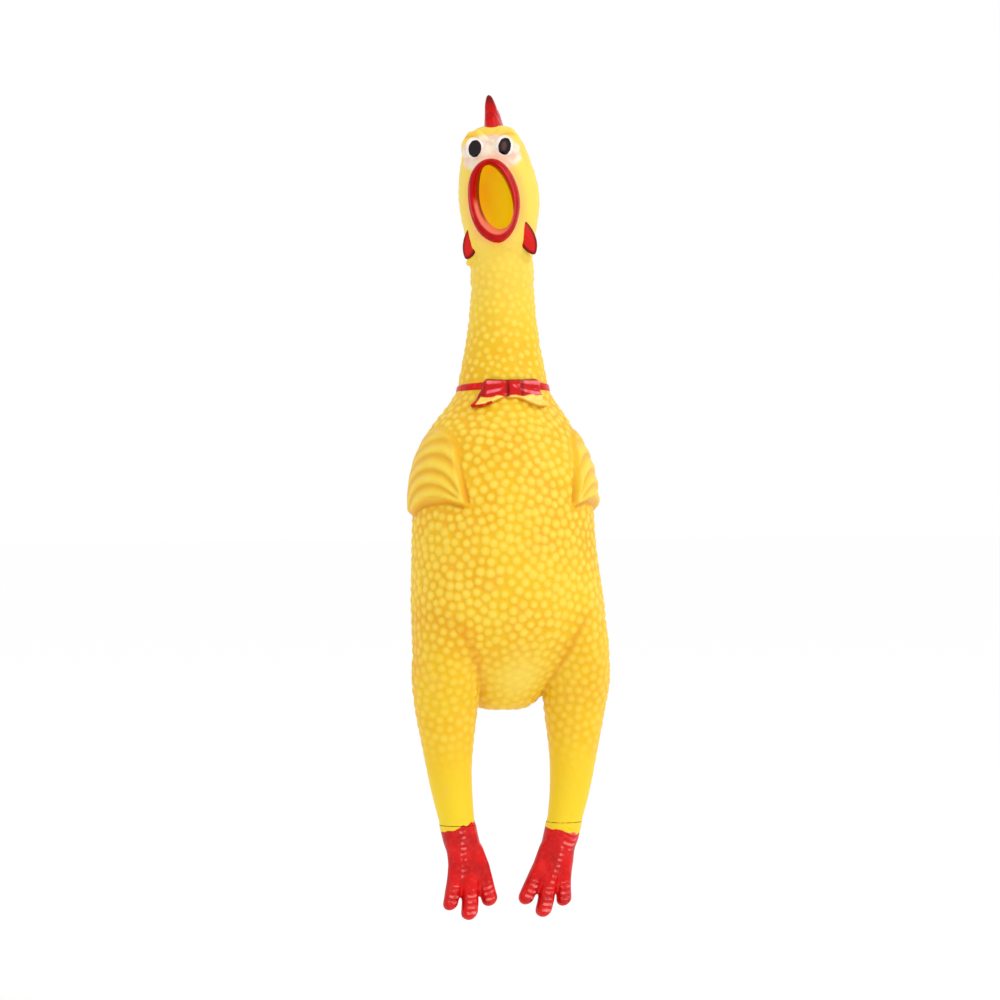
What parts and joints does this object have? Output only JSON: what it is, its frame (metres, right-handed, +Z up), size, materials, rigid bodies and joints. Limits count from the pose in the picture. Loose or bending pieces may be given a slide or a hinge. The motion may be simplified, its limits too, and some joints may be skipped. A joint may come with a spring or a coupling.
{
  "type": "rubber chicken",
  "caption": "Limp hollow rubber chicken with a gaping round beak, goose-bumped skin, moulded collar and bow tie, dangling legs and a reed whistle inside that cries when the belly is squeezed.",
  "frame": {"origin": "centre of the waist, where a hand closes around the body", "axes": "+Z up along the body from the feet to the head, -Y out of the breast, +X towards the chicken's own left side"},
  "size_m": [0.0752, 0.055, 0.3098],
  "materials": {
    "skin_yellow": "moulded vinyl, yellow, soft satin, goose-bumped",
    "paint_red": "red glossy paint on vinyl",
    "lip_red": "thick glossy red paint on vinyl",
    "mouth_orange": "orange sprayed vinyl, glossy",
    "eye_white": "white paint with a black pupil, glossy",
    "whistle_white": "white moulded plastic",
    "reed_clear": "thin milky plastic strip"
  },
  "bodies": {
    "torso": {"torso_skin": "skin_yellow", "wing_left": "skin_yellow", "wing_right": "skin_yellow", "collar_band": "paint_red", "bow_tie": "paint_red"},
    "breast": {"breast_skin": "skin_yellow"},
    "neck_lower": {"neck_lower_skin": "skin_yellow"},
    "neck_upper": {"neck_upper_skin": "skin_yellow"},
    "head": {"head_skin": "skin_yellow", "beak_rim": "lip_red", "mouth_lining": "mouth_orange", "comb": "paint_red", "wattle_left": "paint_red", "wattle_right": "paint_red", "eye_left": "eye_white", "eye_right": "eye_white", "whistle_housing": "whistle_white", "reed_shoe": "whistle_white", "reed_wedge": "whistle_white"},
    "reed": {"reed_tongue": "reed_clear"},
    "leg_upper_left": {"leg_upper_left": "skin_yellow"},
    "leg_lower_left": {"leg_lower_left": "skin_yellow"},
    "foot_left": {"foot_left": "paint_red"},
    "leg_upper_right": {"leg_upper_right": "skin_yellow"},
    "leg_lower_right": {"leg_lower_right": "skin_yellow"},
    "foot_right": {"foot_right": "paint_red"}
  },
  "joints": [
    {"name": "squeeze", "type": "slide", "parent": "torso", "child": "breast", "axis": [0, 1, 0], "range_m": [0, 0.012], "stiffness_N_per_m": 400},
    {"name": "neck_bend", "type": "hinge", "parent": "torso", "child": "neck_lower", "pos_m": [0, 0.003, 0.0765], "axis": [1, 0, 0], "range_deg": [-35, 35], "stiffness_Nm_per_rad": 1},
    {"name": "neck_sway", "type": "hinge", "parent": "neck_lower", "child": "neck_upper", "pos_m": [0, 0.003, 0.0935], "axis": [0, 1, 0], "range_deg": [-35, 35], "stiffness_Nm_per_rad": 1},
    {"name": "head_turn", "type": "hinge", "parent": "neck_upper", "child": "head", "pos_m": [0, 0.003, 0.104], "axis": [0, 0, 1], "range_deg": [-40, 40], "stiffness_Nm_per_rad": 0.5},
    {"name": "reed_beat", "type": "hinge", "parent": "head", "child": "reed", "pos_m": [-0.00044, 0.00267, 0.11098], "axis": [0.9255, -0.3746, 0.0566], "range_deg": [-1.2, 5], "stiffness_Nm_per_rad": 0.002},
    {"name": "hip_left", "type": "hinge", "parent": "torso", "child": "leg_upper_left", "pos_m": [0.0249, -0.0015, -0.056], "axis": [1, 0, 0], "range_deg": [-40, 40], "stiffness_Nm_per_rad": 0.4},
    {"name": "knee_left", "type": "hinge", "parent": "leg_upper_left", "child": "leg_lower_left", "pos_m": [0.02422, -0.0015, -0.0755], "axis": [0, 1, 0], "range_deg": [-30, 2.5], "stiffness_Nm_per_rad": 0.4},
    {"name": "ankle_left", "type": "hinge", "parent": "leg_lower_left", "child": "foot_left", "pos_m": [0.02114, -0.0015, -0.0975], "axis": [1, 0, 0], "range_deg": [-35, 35], "stiffness_Nm_per_rad": 0.2},
    {"name": "hip_right", "type": "hinge", "parent": "torso", "child": "leg_upper_right", "pos_m": [-0.0249, -0.0015, -0.056], "axis": [1, 0, 0], "range_deg": [-40, 40], "stiffness_Nm_per_rad": 0.4},
    {"name": "knee_right", "type": "hinge", "parent": "leg_upper_right", "child": "leg_lower_right", "pos_m": [-0.02422, -0.0015, -0.0755], "axis": [0, 1, 0], "range_deg": [-2.5, 30], "stiffness_Nm_per_rad": 0.4},
    {"name": "ankle_right", "type": "hinge", "parent": "leg_lower_right", "child": "foot_right", "pos_m": [-0.02114, -0.0015, -0.0975], "axis": [1, 0, 0], "range_deg": [-35, 35], "stiffness_Nm_per_rad": 0.2}
  ]
}
